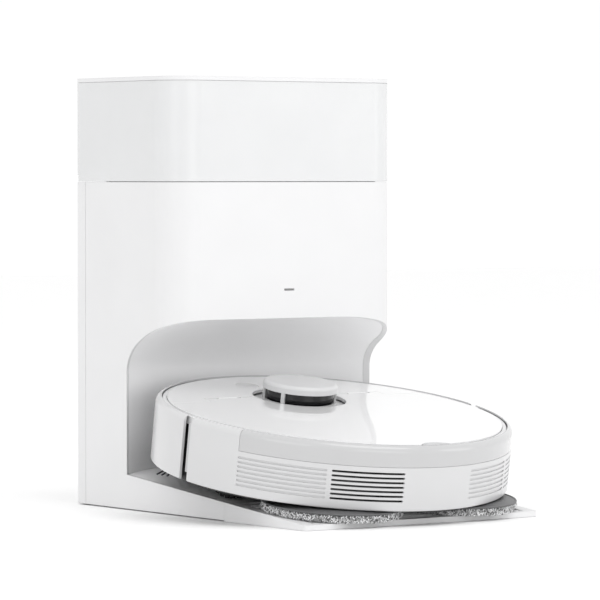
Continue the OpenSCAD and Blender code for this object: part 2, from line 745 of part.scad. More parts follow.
// Outline of the openable part of the top
module lid_plan(shrink) difference() {
    intersection() {
        circle(deck_r, $fn = 180);
        union() {
            translate([-200, -200]) square([400, 200 + lid_side_y - shrink]);
            translate([-lid_tab_x + shrink, 0])
                square([2 * (lid_tab_x - shrink), hinge_lid_y - lid_edge_gap - shrink]);
        }
    }
    translate([0, turret_y]) circle(recess_r + 0.5 + shrink);
    translate([0, -deck_r - 14]) circle(23);
}

module lid() color(c_white) robot() difference() {
    union() {
        translate([0, 0, deck_bottom]) linear_extrude(deck_t_robot) lid_plan(0);
        // Hinge barrels
        for (x = barrel_xs) {
            translate([x, hinge_lid_y, hinge_lid_z]) rotate([0, 90, 0])
                cylinder(r = barrel_r, h = barrel_len);
            translate([x, hinge_lid_y - 1, hinge_lid_z - barrel_r]) cube([barrel_len, 1, 1.4]);
        }
    }
    for (x = barrel_xs) translate([x - 1, hinge_lid_y, hinge_lid_z]) rotate([0, 90, 0])
        cylinder(r = barrel_bore, h = barrel_len + 2);
    // Notches for the ears of the deck
    for (x = barrel_xs) for (dx = [-4, barrel_len + 0.2])
        translate([x + dx, hinge_lid_y - 3, deck_bottom - 1]) cube([3.8, 5, 6]);
}

module top_deck() color(c_white) robot() union() {
    difference() {
        translate([0, 0, deck_bottom]) cylinder(r = deck_r, h = deck_t_robot, $fn = 180);
        translate([0, 0, deck_bottom - 1]) linear_extrude(6) union() {
            translate([-200, -200]) square([400, 200 + lid_side_y + lid_gap]);
            translate([-lid_tab_x - lid_gap, 0])
                square([2 * (lid_tab_x + lid_gap), hinge_lid_y + deck_edge_gap]);
            translate([0, turret_y]) circle(recess_r + 0.5);
            for (x = [-button_x, button_x]) translate([x, button_y]) circle(button_r + 0.35);
            for (x = barrel_xs) translate([x - 0.5, hinge_lid_y]) square([barrel_len + 1, 1.5]);
        }
    }
    // Legs down to the frame
    for (p = [[-60, 110], [60, 110], [-120, 90], [120, 90]])
        translate([p[0], p[1], frame_floor_z + frame_floor_t + 0.1])
            cylinder(r = 4, h = deck_bottom - frame_floor_z - frame_floor_t);
    // Ears and pins the lid turns on
    for (x = barrel_xs) {
        for (dx = [-3.5, barrel_len + 0.5]) translate([x + dx, hinge_lid_y - 0.8, deck_bottom + 1])
            cube([3, 3, deck_t_robot - 1]);
        translate([x - 3, hinge_lid_y, hinge_lid_z]) rotate([0, 90, 0])
            cylinder(r = barrel_bore - 0.05, h = barrel_len + 6);
    }
}

module turret_base() color(c_white) robot() difference() {
    union() {
        translate([0, turret_y, turret_foot + 0.1]) cylinder(r = recess_r, h = 1.6);
        translate([0, turret_y, turret_foot + 0.1]) cylinder(r = window_r - 0.4, h = 4);
        translate([0, turret_y, 62]) cylinder(r = 29, h = 15);
    }
    translate([0, turret_y, 63.5]) cylinder(r = 4.06, h = 30);
}

module turret_window() color(c_dark) robot() difference() {
    translate([0, turret_y, turret_foot + 4.3])
        cylinder(r = window_r - 0.3, h = window_top - turret_foot - 4.4);
    translate([0, turret_y, 70]) cylinder(r = window_r - 3, h = 40);
}

module turret_cap() color(c_white) robot() translate([0, turret_y, 0]) union() {
    difference() {
        translate([0, 0, window_top]) cylinder(r = turret_r, h = turret_top_z - window_top - 3);
        translate([0, 0, window_top - 1]) cylinder(r = turret_r - 3, h = turret_top_z - window_top - 2);
    }
    rotate_extrude() intersection() {
        translate([turret_r - 4, turret_top_z - 4]) circle(4);
        translate([turret_r - 5, turret_top_z - 3]) square([10, 10]);
    }
    translate([0, 0, turret_top_z - 3]) cylinder(r = turret_r - 4, h = 3);
    // Four posts and the ring they stand on
    for (a = [27, 153, 207, 333]) rotate([0, 0, a]) translate([window_r, -2, turret_foot + 1.9])
        cube([2.2, 4, window_top - turret_foot - 1]);
    translate([0, 0, turret_foot + 1.9]) difference() {
        cylinder(r = turret_r - 0.2, h = 1.6);
        translate([0, 0, -1]) cylinder(r = window_r, h = 4);
    }
}

module laser_head() color(c_grey) robot() translate([0, turret_y, 0]) union() {
    translate([0, 0, 66]) cylinder(r = 4, h = 16);
    translate([0, 0, 81]) cylinder(r = 28, h = 2);
    translate([-22, -12, 82.9]) cube([44, 24, 6]);
    for (x = [-12, 12]) translate([x, -15, 86]) rotate([-90, 0, 0]) cylinder(r = 3, h = 4);
}

module button(x) robot() translate([x, button_y, 0]) union() {
    translate([0, 0, deck_bottom]) cylinder(r = button_r, h = deck_t_robot - 0.2);
    translate([0, 0, 70]) cylinder(r = 4, h = deck_bottom - 69);
}

module home_button() color(c_white) button(-button_x);

module power_button() color(c_white) button(button_x);

module dustbin() color(c_smoke) robot() difference() {
    union() {
        translate([-bin_x, bin_back_y, 46]) cube([2 * bin_x, bin_front_y - bin_back_y, 29.6]);
        translate([-40, bin_back_y + 8, 75]) cube([80, 10, 3]);
    }
    translate([-bin_x + 2, bin_back_y + 2, 48]) cube([2 * bin_x - 4, bin_front_y - bin_back_y - 4, 25.6]);
    // Dirt inlet at the front and air outlet at the back
    translate([-30, bin_front_y - 4, 50]) cube([60, 10, 18]);
    translate([-62, bin_back_y - 4, 51]) cube([80, 10, 19]);
}

module dust_filter() color(c_soft) robot() union() {
    translate([-61.5, bin_back_y + 2.2, 51.3]) cube([79, 3, 18.4]);
    for (x = [-58 : 6 : 14]) translate([x, bin_back_y + 5, 52]) cube([1.6, 9, 17]);
}

module fan_motor() color(c_dark) robot() union() {
    difference() {
        translate([-45, -102, 48.5]) cylinder(r = 30, h = 22);
        translate([-45, -102, 60]) cylinder(r = 13, h = 20);
    }
    translate([-45, -102, 60]) cylinder(r = 5, h = 8);
    translate([-70, -136, 50]) cube([30, 22, 18]);
}

module battery() color(c_grey) robot() union() {
    translate([-72, 66, 24]) cube([144, 48, 34]);
    translate([-20, 63.5, 30]) cube([40, 3, 10]);
}

module main_board() color(c_board) robot() union() {
    translate([5, -136, 56]) cube([80, 60, 1.6]);
    for (p = [[15, -128], [45, -110], [62, -130]]) translate([p[0], p[1], 57.5]) cube([16, 16, 3]);
    for (x = [12 : 16 : 70]) translate([x, -88, 57.5]) cube([9, 8, 8]);
}

// Gear motors that carry the drive wheels
module wheel_units() color(c_dark) robot() for (s = [0, 1]) mirror([s, 0, 0]) difference() {
    union() {
        translate([86.6, -26, 24]) cube([15.4, 52, 24]);
        translate([86.6, 0, axle_z]) rotate([0, 90, 0]) cylinder(r = 20, h = 15.4);
        // Trunnion the body rocks on
        translate([82.9, 0, axle_z]) rotate([0, 90, 0]) cylinder(r = trunnion_r, h = 5);
    }
    translate([87.8, 0, axle_z]) rotate([0, 90, 0]) cylinder(r = 3.05, h = 40);
}

module wheel_hub(s) robot() mirror([s, 0, 0]) difference() {
    union() {
        translate([wheel_in_x + 0.6, 0, axle_z]) rotate([0, 90, 0])
            cylinder(r = wheel_r - tyre_t, h = wheel_out_x - wheel_in_x - 1);
        translate([88, 0, axle_z]) rotate([0, 90, 0]) cylinder(r = 3, h = 20);
    }
    translate([wheel_out_x - 6, 0, axle_z]) rotate([0, 90, 0]) difference() {
        cylinder(r = wheel_r - tyre_t - 4, h = 10);
        cylinder(r = 8, h = 30, center = true);
    }
}

module tyre(s) robot() mirror([s, 0, 0]) translate([wheel_in_x, 0, axle_z]) rotate([0, 90, 0])
difference() {
    cylinder(r = wheel_r, h = wheel_out_x - wheel_in_x);
    translate([0, 0, -1]) cylinder(r = wheel_r - tyre_t + 0.02, h = wheel_out_x - wheel_in_x + 2);
    // Tread blocks
    for (a = [0 : 15 : 345]) rotate([0, 0, a]) translate([wheel_r - 2, -1.6, -1])
        cube([5, 3.2, wheel_out_x - wheel_in_x + 2]);
    translate([0, 0, 8.6]) difference() {
        cylinder(r = wheel_r + 2, h = 2.8);
        cylinder(r = wheel_r - 2, h = 9, center = true);
    }
}

module left_wheel() color(c_grey) wheel_hub(1);

module left_tyre() color(c_rubber) tyre(1);

module right_wheel() color(c_grey) wheel_hub(0);

module right_tyre() color(c_rubber) tyre(0);

module caster_fork() color(c_dark) robot() translate([0, caster_y, 0]) difference() {
    union() {
        translate([0, 0, 14]) cylinder(r = 18, h = 14);
        for (x = [-11.5, 8.5]) translate([x, -caster_trail - 6, 8]) cube([3, 12, 10]);
        translate([0, 0, 27]) cylinder(r = 4, h = 10);
    }
    translate([-8.3, -caster_trail - 14.4, 0]) cube([16.6, 28.8, 26.6]);
    translate([-20, -caster_trail, caster_r + 0.3]) rotate([0, 90, 0]) cylinder(r = 1.55, h = 40);
}

module caster_wheel() color(c_grey) robot()
translate([0, caster_y - caster_trail, caster_r + 0.3]) rotate([0, 90, 0]) union() {
    translate([0, 0, -7]) cylinder(r = caster_r, h = 14);
    translate([0, 0, -11]) cylinder(r = 1.5, h = 22);
}

module main_brush() color(c_grey) robot()
translate([-brush_half, brush_y, brush_z]) rotate([0, 90, 0]) union() {
    cylinder(r = 12, h = 2 * brush_half);
    translate([0, 0, -1.8]) cylinder(r = 3, h = 2 * brush_half + 3.6);
    for (a = [0 : 60 : 300]) rotate([0, 0, a]) translate([10, -1, 2])
        cube([brush_r - 10, 2, 2 * brush_half - 4]);
}

module brush_guard() color(c_dark) robot() difference() {
    union() {
        translate([-brush_half - 8, brush_y - brush_r - 7, under_z - 1.8])
            cube([2 * brush_half + 16, 2 * brush_r + 14, 1.6]);
        for (s = [-1, 1]) translate([s * (brush_half + 2.1) - 0.8, brush_y - 6, under_z - 1.8])
            cube([1.6, 12, 12]);
    }
    translate([-brush_half - 0.6, brush_y - brush_r - 1, 0])
        cube([2 * brush_half + 1.2, 2 * brush_r + 2, 19]);
    for (s = [-1, 1]) translate([s * (brush_half + 2) - 5, brush_y, brush_z]) rotate([0, 90, 0])
        cylinder(r = 3.05, h = 10);
    wheel_wells();
}

module side_brush() color(c_grey) robot() translate([side_brush_x, side_brush_y, 0]) union() {
    translate([0, 0, 9]) cylinder(r = 9, h = 8);
    translate([0, 0, 15]) cylinder(r = 4, h = 16);
    for (a = [90 : 120 : 330]) rotate([0, 0, a]) {
        translate([5, -3, 9.5]) cube([14, 6, 4]);
        for (b = [-12, 0, 12]) rotate([0, 0, b * 0.4]) translate([12, b * 0.12, 11]) rotate([0, 99, 0])
            cylinder(r = 0.8, h = side_brush_reach - 13, $fn = 16);
    }
}

// Gear housing that turns both mops; its arms let the pads follow the floor
module mop_carrier() color(c_grey) mops() difference() {
    union() {
        translate([-101, -131, 22]) cube([202, 74, 15]);
        for (s = [-1, 1]) translate([s * 77 - 3.5, -60, 24]) cube([7, 60, 10]);
        for (s = [-1, 1]) translate([s * 77 - 3.5, mop_pivot_y, mop_pivot_z]) rotate([0, 90, 0])
            cylinder(r = 6, h = 7);
        for (s = [-1, 1]) translate([s * mop_x, mop_y, 36]) cylinder(r = 22, h = 4);
    }
    for (s = [-1, 1]) translate([s * mop_x, mop_y, 0]) cylinder(r = 5.05, h = 35);
}

module disc_body(s) mops() translate([s * mop_x, mop_y, clear + pad_t]) union() {
    translate([0, 0, 0.05]) cylinder(r1 = mop_r - 1, r2 = mop_r - 12, h = disc_t);
    translate([0, 0, disc_t]) cylinder(r = 18, h = 3);
    translate([0, 0, disc_t]) cylinder(r = 5, h = 22);
}

module pad_body(s) mops() translate([s * mop_x, mop_y, clear]) rotate_extrude() polygon([
    [0, 0.4], [30, 0], [mop_r - 4, 0], [mop_r - 1, 1.2], [mop_r, 3.4],
    [mop_r - 0.6, 5.8], [mop_r - 3, pad_t], [0, pad_t]]);

module left_mop_disc() color(c_grey) disc_body(-1);

module left_mop_pad() color(c_soft) pad_body(-1);

module right_mop_disc() color(c_grey) disc_body(1);

module right_mop_pad() color(c_soft) pad_body(1);

tower_shell();
bay_liner();
base_tray();
ramp_plate();
washboard();
rear_cover();
tank_deck();
status_light();
power_inlet();
control_board();
water_pumps();
water_hoses();
dryer_fan();
contact_block();
contact_plates();
station_feet();
cover_screws();
hinge_pins();
used_tank();
used_tank_cap();
used_tank_handle();
clean_tank();
clean_tank_cap();
clean_tank_handle();
hood();
hood_top();
chassis();
upper_frame();
rear_shell();
rear_window();
top_deck();
lid();
bumper();
bumper_window();
turret_base();
turret_window();
turret_cap();
laser_head();
home_button();
power_button();
dustbin();
dust_filter();
fan_motor();
battery();
main_board();
wheel_units();
left_wheel();
left_tyre();
right_wheel();
right_tyre();
caster_fork();
caster_wheel();
main_brush();
brush_guard();
side_brush();
mop_carrier();
left_mop_disc();
left_mop_pad();
right_mop_disc();
right_mop_pad();
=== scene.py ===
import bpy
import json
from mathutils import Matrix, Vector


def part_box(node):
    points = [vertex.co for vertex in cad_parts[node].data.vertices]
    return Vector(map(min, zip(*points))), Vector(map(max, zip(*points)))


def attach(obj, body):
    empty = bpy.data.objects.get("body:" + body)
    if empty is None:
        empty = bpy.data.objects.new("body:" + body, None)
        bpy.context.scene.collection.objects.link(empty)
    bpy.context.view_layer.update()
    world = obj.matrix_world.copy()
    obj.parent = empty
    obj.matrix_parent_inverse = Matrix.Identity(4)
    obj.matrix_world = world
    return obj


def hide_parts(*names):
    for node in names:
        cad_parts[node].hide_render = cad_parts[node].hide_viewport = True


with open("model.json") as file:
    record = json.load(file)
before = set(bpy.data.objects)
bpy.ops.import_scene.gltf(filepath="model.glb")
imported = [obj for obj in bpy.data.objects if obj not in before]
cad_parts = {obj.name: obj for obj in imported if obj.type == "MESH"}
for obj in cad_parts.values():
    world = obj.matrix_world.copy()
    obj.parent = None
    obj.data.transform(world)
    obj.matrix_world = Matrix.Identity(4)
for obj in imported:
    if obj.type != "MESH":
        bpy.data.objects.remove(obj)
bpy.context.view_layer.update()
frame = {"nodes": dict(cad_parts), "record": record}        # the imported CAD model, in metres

import json
import math
import random

import bmesh
import bpy
from mathutils import Matrix, Vector

scene = bpy.context.scene
nodes = frame["nodes"]
MM = 0.001

# ---------------------------------------------------------------- the object's own lines
FRONT_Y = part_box("hood")[0].y                      # the tower's front face
PITCH = math.radians(8.82)                         # the parked robot leans with the ramp
MOP_TILT = math.radians(3.22)                      # the mops lie flatter than the robot
BODY_FROM_FRONT, BODY_LIFT = 62.9 * MM, 20.7 * MM  # the robot's centre on its underside plane
# Matrices from the robot's and the mops' own lines, in millimetres, to the frame
ROBOT = (Matrix.Translation((0, FRONT_Y - BODY_FROM_FRONT, BODY_LIFT))
         @ Matrix.Rotation(PITCH, 4, "X") @ Matrix.Scale(MM, 4))
MOPS = ROBOT @ Matrix.Rotation(-MOP_TILT, 4, "X")


# ---------------------------------------------------------------- mesh helpers
def modify(ob, kind, **values):
    """A modifier with its values set."""
    m = ob.modifiers.new(kind.title(), kind)
    for k, v in values.items():
        setattr(m, k, v)


def apply_all(ob):
    """The modifiers are made part of the mesh."""
    dg = bpy.context.evaluated_depsgraph_get()
    me = bpy.data.meshes.new_from_object(ob.evaluated_get(dg))
    old = ob.data
    ob.modifiers.clear()
    ob.data = me
    bpy.data.meshes.remove(old)


def arc(cx, cy, r, a0, a1, n):
    """Points of a circle's arc, from a0 to a1 degrees."""
    return [(cx + r * math.cos(math.radians(a0 + (a1 - a0) * i / n)),
             cy + r * math.sin(math.radians(a0 + (a1 - a0) * i / n))) for i in range(n + 1)]


def rounded(points, radius, n=3):
    """A closed outline with its corners rounded. radius is one number or one for each corner."""
    out = []
    count = len(points)
    for i, p in enumerate(points):
        r = radius[i] if isinstance(radius, (list, tuple)) else radius
        a, b = Vector(points[i - 1]), Vector(points[(i + 1) % count])
        p = Vector(p)
        if r <= 0:
            out.append(tuple(p))
            continue
        u, v = (a - p), (b - p)
        half = u.angle(v) / 2
        cut = min(r / math.tan(half), u.length * 0.49, v.length * 0.49)
        r = cut * math.tan(half)
        s, e = p + u.normalized() * cut, p + v.normalized() * cut
        c = p + (u.normalized() + v.normalized()).normalized() * (r / math.sin(half))
        for k in range(n + 1):
            t = k / n
            q = (s - c).lerp(e - c, t).normalized() * r + c
            out.append(tuple(q))
    return out


def lathe(profile, segments, start=0.0, end=360.0, centre=(0, 0)):
    """A closed outline in (radius, height) turned about the vertical line at centre."""
    full = abs(end - start) >= 359.999
    rings = segments if full else segments + 1
    verts, faces = [], []
    n = len(profile)
    for i in range(rings):
        a = math.radians(start + (end - start) * i / segments)
        for r, z in profile:
            verts.append((centre[0] + r * math.cos(a), centre[1] + r * math.sin(a), z))
    for i in range(segments):
        j = (i + 1) % rings
        for k in range(n):
            m = (k + 1) % n
            faces.append((i * n + k, j * n + k, j * n + m, i * n + m))
    if not full:
        faces.append(tuple(range(n)))
        faces.append(tuple(range((rings - 1) * n, rings * n)))
    return verts, faces


def join(*meshes):
    """Several meshes as one."""
    verts, faces = [], []
    for v, f in meshes:
        k = len(verts)
        verts += v
        faces += [tuple(i + k for i in face) for face in f]
    return verts, faces


# ---------------------------------------------------------------- materials
def new_material(name):
    """A material, its node tree and its shader."""
    m = bpy.data.materials.new(name)
    m.use_nodes = True
    t = m.node_tree
    bsdf = t.nodes["Principled BSDF"]
    return m, t, bsdf


def noise(t, coord, scale, detail=3.0, rough=0.55):
    """The output of a noise texture."""
    n = t.nodes.new("ShaderNodeTexNoise")
    n.inputs["Scale"].default_value = scale
    n.inputs["Detail"].default_value = detail
    n.inputs["Roughness"].default_value = rough
    t.links.new(coord, n.inputs["Vector"])
    return n.outputs["Fac"]


def ramp(t, fac, low, high, p0=0.3, p1=0.7):
    """A factor turned into a colour between two colours."""
    r = t.nodes.new("ShaderNodeValToRGB")
    r.color_ramp.elements[0].position = p0
    r.color_ramp.elements[1].position = p1
    r.color_ramp.elements[0].color = (*low, 1)
    r.color_ramp.elements[1].color = (*high, 1)
    t.links.new(fac, r.inputs["Fac"])
    return r.outputs["Color"]


def remap(t, fac, low, high):
    """A factor turned into a number between two numbers."""
    r = t.nodes.new("ShaderNodeMapRange")
    r.inputs["To Min"].default_value = low
    r.inputs["To Max"].default_value = high
    t.links.new(fac, r.inputs["Value"])
    return r.outputs["Result"]


def bump(t, bsdf, height, strength, distance):
    """A height that disturbs the shader's normal."""
    b = t.nodes.new("ShaderNodeBump")
    b.inputs["Strength"].default_value = strength
    b.inputs["Distance"].default_value = distance
    t.links.new(height, b.inputs["Height"])
    t.links.new(b.outputs["Normal"], bsdf.inputs["Normal"])
    return b


def plastic(name, colour, rough, grain=900.0, depth=0.00002, strength=0.25, vary=0.012,
            coat=0.0, coat_rough=0.05, alpha=1.0, specular=0.5, metallic=0.0, edge=0.0):
    """Moulded plastic: a fine spark-eroded grain, slow variation in tone and gloss."""
    m, t, bsdf = new_material(name)
    coord = t.nodes.new("ShaderNodeTexCoord").outputs["Object"]
    slow = noise(t, coord, 14.0, 2.0)
    fine = noise(t, coord, grain, 2.0)
    low = tuple(c * (1 - vary) for c in colour)
    high = tuple(min(1.0, c * (1 + vary)) for c in colour)
    t.links.new(ramp(t, slow, low, high), bsdf.inputs["Base Color"])
    t.links.new(remap(t, fine, rough * 0.85, rough * 1.15), bsdf.inputs["Roughness"])
    b = bump(t, bsdf, fine, strength, depth)
    if edge:
        soft = t.nodes.new("ShaderNodeBevel")
        soft.samples = 6
        soft.inputs["Radius"].default_value = edge * MM
        t.links.new(soft.outputs["Normal"], b.inputs["Normal"])
    bsdf.inputs["Coat Weight"].default_value = coat
    bsdf.inputs["Coat Roughness"].default_value = coat_rough
    bsdf.inputs["Specular IOR Level"].default_value = specular
    bsdf.inputs["Metallic"].default_value = metallic
    bsdf.inputs["Alpha"].default_value = alpha
    return m


def cloth(name, dark, light, scale=700.0):
    """Salt and pepper microfibre."""
    m, t, bsdf = new_material(name)
    coord = t.nodes.new("ShaderNodeTexCoord").outputs["Object"]
    fine = noise(t, coord, scale, 2.0, 0.7)
    t.links.new(ramp(t, fine, dark, light, 0.42, 0.58), bsdf.inputs["Base Color"])
    fibre = noise(t, coord, scale * 3, 2.0)
    t.links.new(remap(t, fibre, 0.8, 1.0), bsdf.inputs["Roughness"])
    bump(t, bsdf, fibre, 0.6, 0.0004)
    bsdf.inputs["Sheen Weight"].default_value = 0.3
    bsdf.inputs["Specular IOR Level"].default_value = 0.2
    return m


def yarn(name):
    """Looped microfibre: every loop takes its own tone between charcoal and pale grey."""
    m, t, bsdf = new_material(name)
    coord = t.nodes.new("ShaderNodeTexCoord").outputs["Object"]
    island = t.nodes.new("ShaderNodeNewGeometry").outputs["Random Per Island"]
    r = t.nodes.new("ShaderNodeValToRGB")
    r.color_ramp.interpolation = "CONSTANT"
    tones = ((0.0, 0.14), (0.14, 0.42), (0.32, 0.78), (0.62, 0.95), (0.86, 0.6))
    r.color_ramp.elements.remove(r.color_ramp.elements[1])
    for k, (at, tone) in enumerate(tones):
        e = r.color_ramp.elements[0] if k == 0 else r.color_ramp.elements.new(at)
        e.color = (tone, tone, tone * 1.01, 1)
    t.links.new(island, r.inputs["Fac"])
    t.links.new(r.outputs["Color"], bsdf.inputs["Base Color"])
    fibre = noise(t, coord, 4200.0, 2.0, 0.7)
    t.links.new(remap(t, fibre, 0.75, 1.0), bsdf.inputs["Roughness"])
    bump(t, bsdf, fibre, 0.7, 0.0003)
    bsdf.inputs["Sheen Weight"].default_value = 0.35
    bsdf.inputs["Specular IOR Level"].default_value = 0.2
    return m


WHITE = (0.75, 0.75, 0.755)
# The robot's white is darker than the dock's: partly the shell's own tone, partly painted shade for its sides
# low by the floor.
ROBOT_WHITE_AND_SHADE = (0.62, 0.62, 0.625)
LID_WHITE = (0.86, 0.86, 0.865)
MAT = {
    "white_matt": plastic("white_matt", WHITE, 0.42, grain=3200.0, strength=0.12, edge=0.8),
    "white_shell": plastic("white_shell", ROBOT_WHITE_AND_SHADE, 0.3, grain=3000.0, strength=0.06, coat=0.5,
                           coat_rough=0.15, edge=0.35),
    # The tray's white is lighter than the dock's own: painted light that lifts the shade under the robot.
    "tray": plastic("tray_painted_light", (0.87, 0.87, 0.875), 0.5, grain=1400.0, strength=0.2, edge=0.6),
    "hood_smoke": plastic("hood_smoke", (0.78, 0.785, 0.79), 0.22, grain=700.0, strength=0.04,
                          coat=0.2, coat_rough=0.1, alpha=0.88, edge=0.9),
    "tank_smoke": plastic("tank_smoke", (0.62, 0.63, 0.64), 0.3, strength=0.05, coat=0.3,
                          alpha=0.85, edge=0.8),
    "tank_clear": plastic("tank_clear", (0.72, 0.76, 0.8), 0.25, strength=0.05, coat=0.3,
                          alpha=0.8, edge=0.8),
    "grey_trim": plastic("grey_trim", (0.11, 0.111, 0.114), 0.42, grain=1200.0, strength=0.2,
                         vary=0.05, edge=0.3),
    "black_plastic": plastic("black_plastic", (0.018, 0.018, 0.019), 0.5, grain=1300.0, strength=0.3,
                             vary=0.1, edge=0.4),
    "black_gloss": plastic("black_gloss", (0.004, 0.004, 0.005), 0.1, strength=0.02, coat=0.2,
                           coat_rough=0.03, vary=0.1, specular=0.3),
    "silver_window": plastic("silver_window", (0.52, 0.52, 0.525), 0.2, strength=0.03, coat=0.8,
                             coat_rough=0.05, edge=0.25),
    "rubber_black": plastic("rubber_black", (0.022, 0.022, 0.022), 0.75, grain=500.0, strength=0.4,
                            vary=0.15, specular=0.3, edge=0.5),
    "tyre_black": plastic("tyre_black", (0.02, 0.02, 0.021), 0.7, grain=450.0, strength=0.5,
                          vary=0.2, specular=0.3),
    "steel": plastic("steel", (0.5, 0.5, 0.51), 0.3, grain=600.0, metallic=1.0, vary=0.06, edge=0.2),
    "contact_metal": plastic("contact_metal", (0.65, 0.58, 0.42), 0.28, grain=600.0, metallic=1.0,
                             vary=0.06, edge=0.3),
    "board_green": plastic("board_green", (0.02, 0.12, 0.055), 0.4, grain=500.0, vary=0.2),
    "mop_cloth": cloth("mop_cloth", (0.16, 0.16, 0.163), (0.75, 0.75, 0.75)),
    "filter_pleat": cloth("filter_pleat", (0.6, 0.6, 0.57), (0.72, 0.72, 0.69), 400.0),
    "bristle": plastic("bristle", (0.05, 0.05, 0.06), 0.55, grain=800.0, vary=0.2),
    "hose_clear": plastic("hose_clear", (0.55, 0.56, 0.58), 0.35, grain=600.0, alpha=0.85),
}
LID = plastic("lid_gloss", LID_WHITE, 0.3, grain=700.0, strength=0.02, coat=1.0, coat_rough=0.03,
              specular=0.5, edge=0.4)
# A lighter white than the dock's own: painted light that lifts the shade inside the bay and the robot's shadow
# on the tray and washboard.
PAINTED_LIGHT_WHITE = plastic("liner", (0.93, 0.93, 0.935), 0.45, grain=1400.0, strength=0.15, edge=0.6)
YARN = yarn("mop_yarn")
# A grey darker than the shell's white for the white tongues: painted shade for their place deep in the gap by
# the bumper.
TONGUE = plastic("tongue", (0.5, 0.5, 0.505), 0.4, grain=3000.0, strength=0.1, edge=0.3)
LIGHT = plastic("light_window", (0.2, 0.2, 0.2), 0.15, grain=900.0, strength=0.02, coat=0.6)

slots = {s["node"]: s["material_slot"] for s in frame["record"]["subparts"]}
# bay_liner, base_tray and washboard get the lighter white with painted light.
OWN = {"lid": LID, "top_deck": LID, "bay_liner": PAINTED_LIGHT_WHITE, "base_tray": PAINTED_LIGHT_WHITE, "washboard": PAINTED_LIGHT_WHITE,
       "status_light": LIGHT}
WELD_GAP = 0.002 * MM           # corners closer than this are one corner
CREASE = math.radians(28)       # faces that meet more sharply than this keep their edge
for name, ob in nodes.items():
    ob.data.materials.clear()
    ob.data.materials.append(OWN.get(name, MAT[slots[name]]))
    # Round faces are shaded round, and flat ones stay flat up to their edges
    for poly in ob.data.polygons:
        poly.use_smooth = True
    modify(ob, "WELD", merge_threshold=WELD_GAP)
    modify(ob, "EDGE_SPLIT", split_angle=CREASE, use_edge_sharp=False)
    modify(ob, "WEIGHTED_NORMAL", weight=100)

# ---------------------------------------------------------------- the robot's side wall
# Radii and heights in the robot's own lines, half angles in degrees from its tail or nose
BODY_R, RIM_R, RIM_TOP = 175.0, 7.0, 82.6
SHELL_LOW, SHELL_WALL, SHELL_FOOT_R = 20.15, 2.8, 1.6
BAND_LOW, BAND_HALF, BAND_DEPTH, BAND_GAP = 62.15, 66.7, 1.8, 0.1
SHELL_HALF, BUMPER_HALF = 87.3, 88.8
RIM_IN, RIM_UNDER = 169.2, 81.0
TAIL, NOSE = 270, 90                               # directions on the robot, in degrees
PAST_WALL = 3                                      # how far cutters reach past the wall
RIM_END = math.degrees(math.acos((RIM_IN - BODY_R + RIM_R) / RIM_R))


def shell_outline():
    """Side wall and rounded rim of the body, as (radius, height)."""
    cz = RIM_TOP - RIM_R
    return ([(BODY_R - SHELL_WALL, SHELL_LOW + 0.5), (BODY_R - SHELL_WALL + 0.5, SHELL_LOW)]
            + arc(BODY_R - SHELL_FOOT_R, SHELL_LOW + SHELL_FOOT_R, SHELL_FOOT_R, -90, 0, 4)
            + arc(BODY_R - RIM_R, cz, RIM_R, 0, RIM_END, 14)
            + [(RIM_IN, RIM_UNDER), (BODY_R - SHELL_WALL, RIM_UNDER)])


def band_outline(deep, shallow, low, end):
    """A skin that follows wall and rim between two depths."""
    cx, cz = BODY_R - RIM_R, RIM_TOP - RIM_R
    top = end or math.degrees(math.acos((RIM_IN - cx) / (RIM_R - shallow)))
    back = end or math.degrees(math.acos((RIM_IN - cx) / (RIM_R - deep)))
    return ([(BODY_R - deep, low), (BODY_R - shallow - 0.25, low), (BODY_R - shallow, low + 0.25)]
            + arc(cx, cz, RIM_R - shallow, 0, top, 14) + arc(cx, cz, RIM_R - deep, back, 0, 14))


def slot_cutter(a0, a1, z, depth):
    """A rounded slot that follows the wall, as a closed mesh."""
    half, tip = SLOT_HALF, 0.02                    # the tip keeps the end from closing to a line
    end = math.degrees(half / BODY_R)
    turn = [math.radians(90 * k / 5) for k in range(6)]
    opening = [(end * (1 - math.cos(t)), half * math.sin(t) or tip) for t in turn]
    steps = max(2, int((a1 - a0) / 1.5))
    middle = [(a0 + end + (a1 - a0 - 2 * end) * k / steps, half) for k in range(1, steps)]
    columns = ([(a0 + a, h) for a, h in opening] + middle
               + [(a1 - a, h) for a, h in reversed(opening)])
    verts, faces = [], []
    for a, h in columns:
        t = math.radians(TAIL + a)
        for r in (BODY_R - depth, BODY_R + PAST_WALL):
            for s in (-1, 1):
                verts.append((r * math.cos(t), r * math.sin(t), z + s * h))
    for i in range(len(columns) - 1):
        a, b = 4 * i, 4 * i + 4
        faces += [(a, b, b + 1, a + 1), (a + 2, a + 3, b + 3, b + 2), (a + 1, b + 1, b + 3, a + 3),
                  (a, a + 2, b + 2, b)]
    last = 4 * (len(columns) - 1)
    faces += [(0, 1, 3, 2), (last, last + 2, last + 3, last + 1)]
    return verts, faces


def carve(ob, cutter):
    """The closed mesh cutter, in the same lines as ob, is taken out of ob."""
    modify(ob, "BOOLEAN", operation="DIFFERENCE", solver="EXACT", object=cutter)
    apply_all(ob)
    bpy.data.objects.remove(cutter)


def finish_normals(ob, angle=35.0):
    """Smooth shading that keeps the edges sharper than an angle."""
    ob.data.shade_smooth()
    ob.data.set_sharp_from_angle(angle=math.radians(angle))


def raw(name, mesh, where):
    """A mesh object that belongs to no body yet."""
    verts, faces = mesh
    me = bpy.data.meshes.new(name)
    me.from_pydata([tuple(where @ Vector(v)) for v in verts], [], faces)
    bm = bmesh.new()
    bm.from_mesh(me)
    bmesh.ops.recalc_face_normals(bm, faces=bm.faces)
    bm.to_mesh(me)
    bm.free()
    ob = bpy.data.objects.new(name, me)
    scene.collection.objects.link(ob)
    return ob


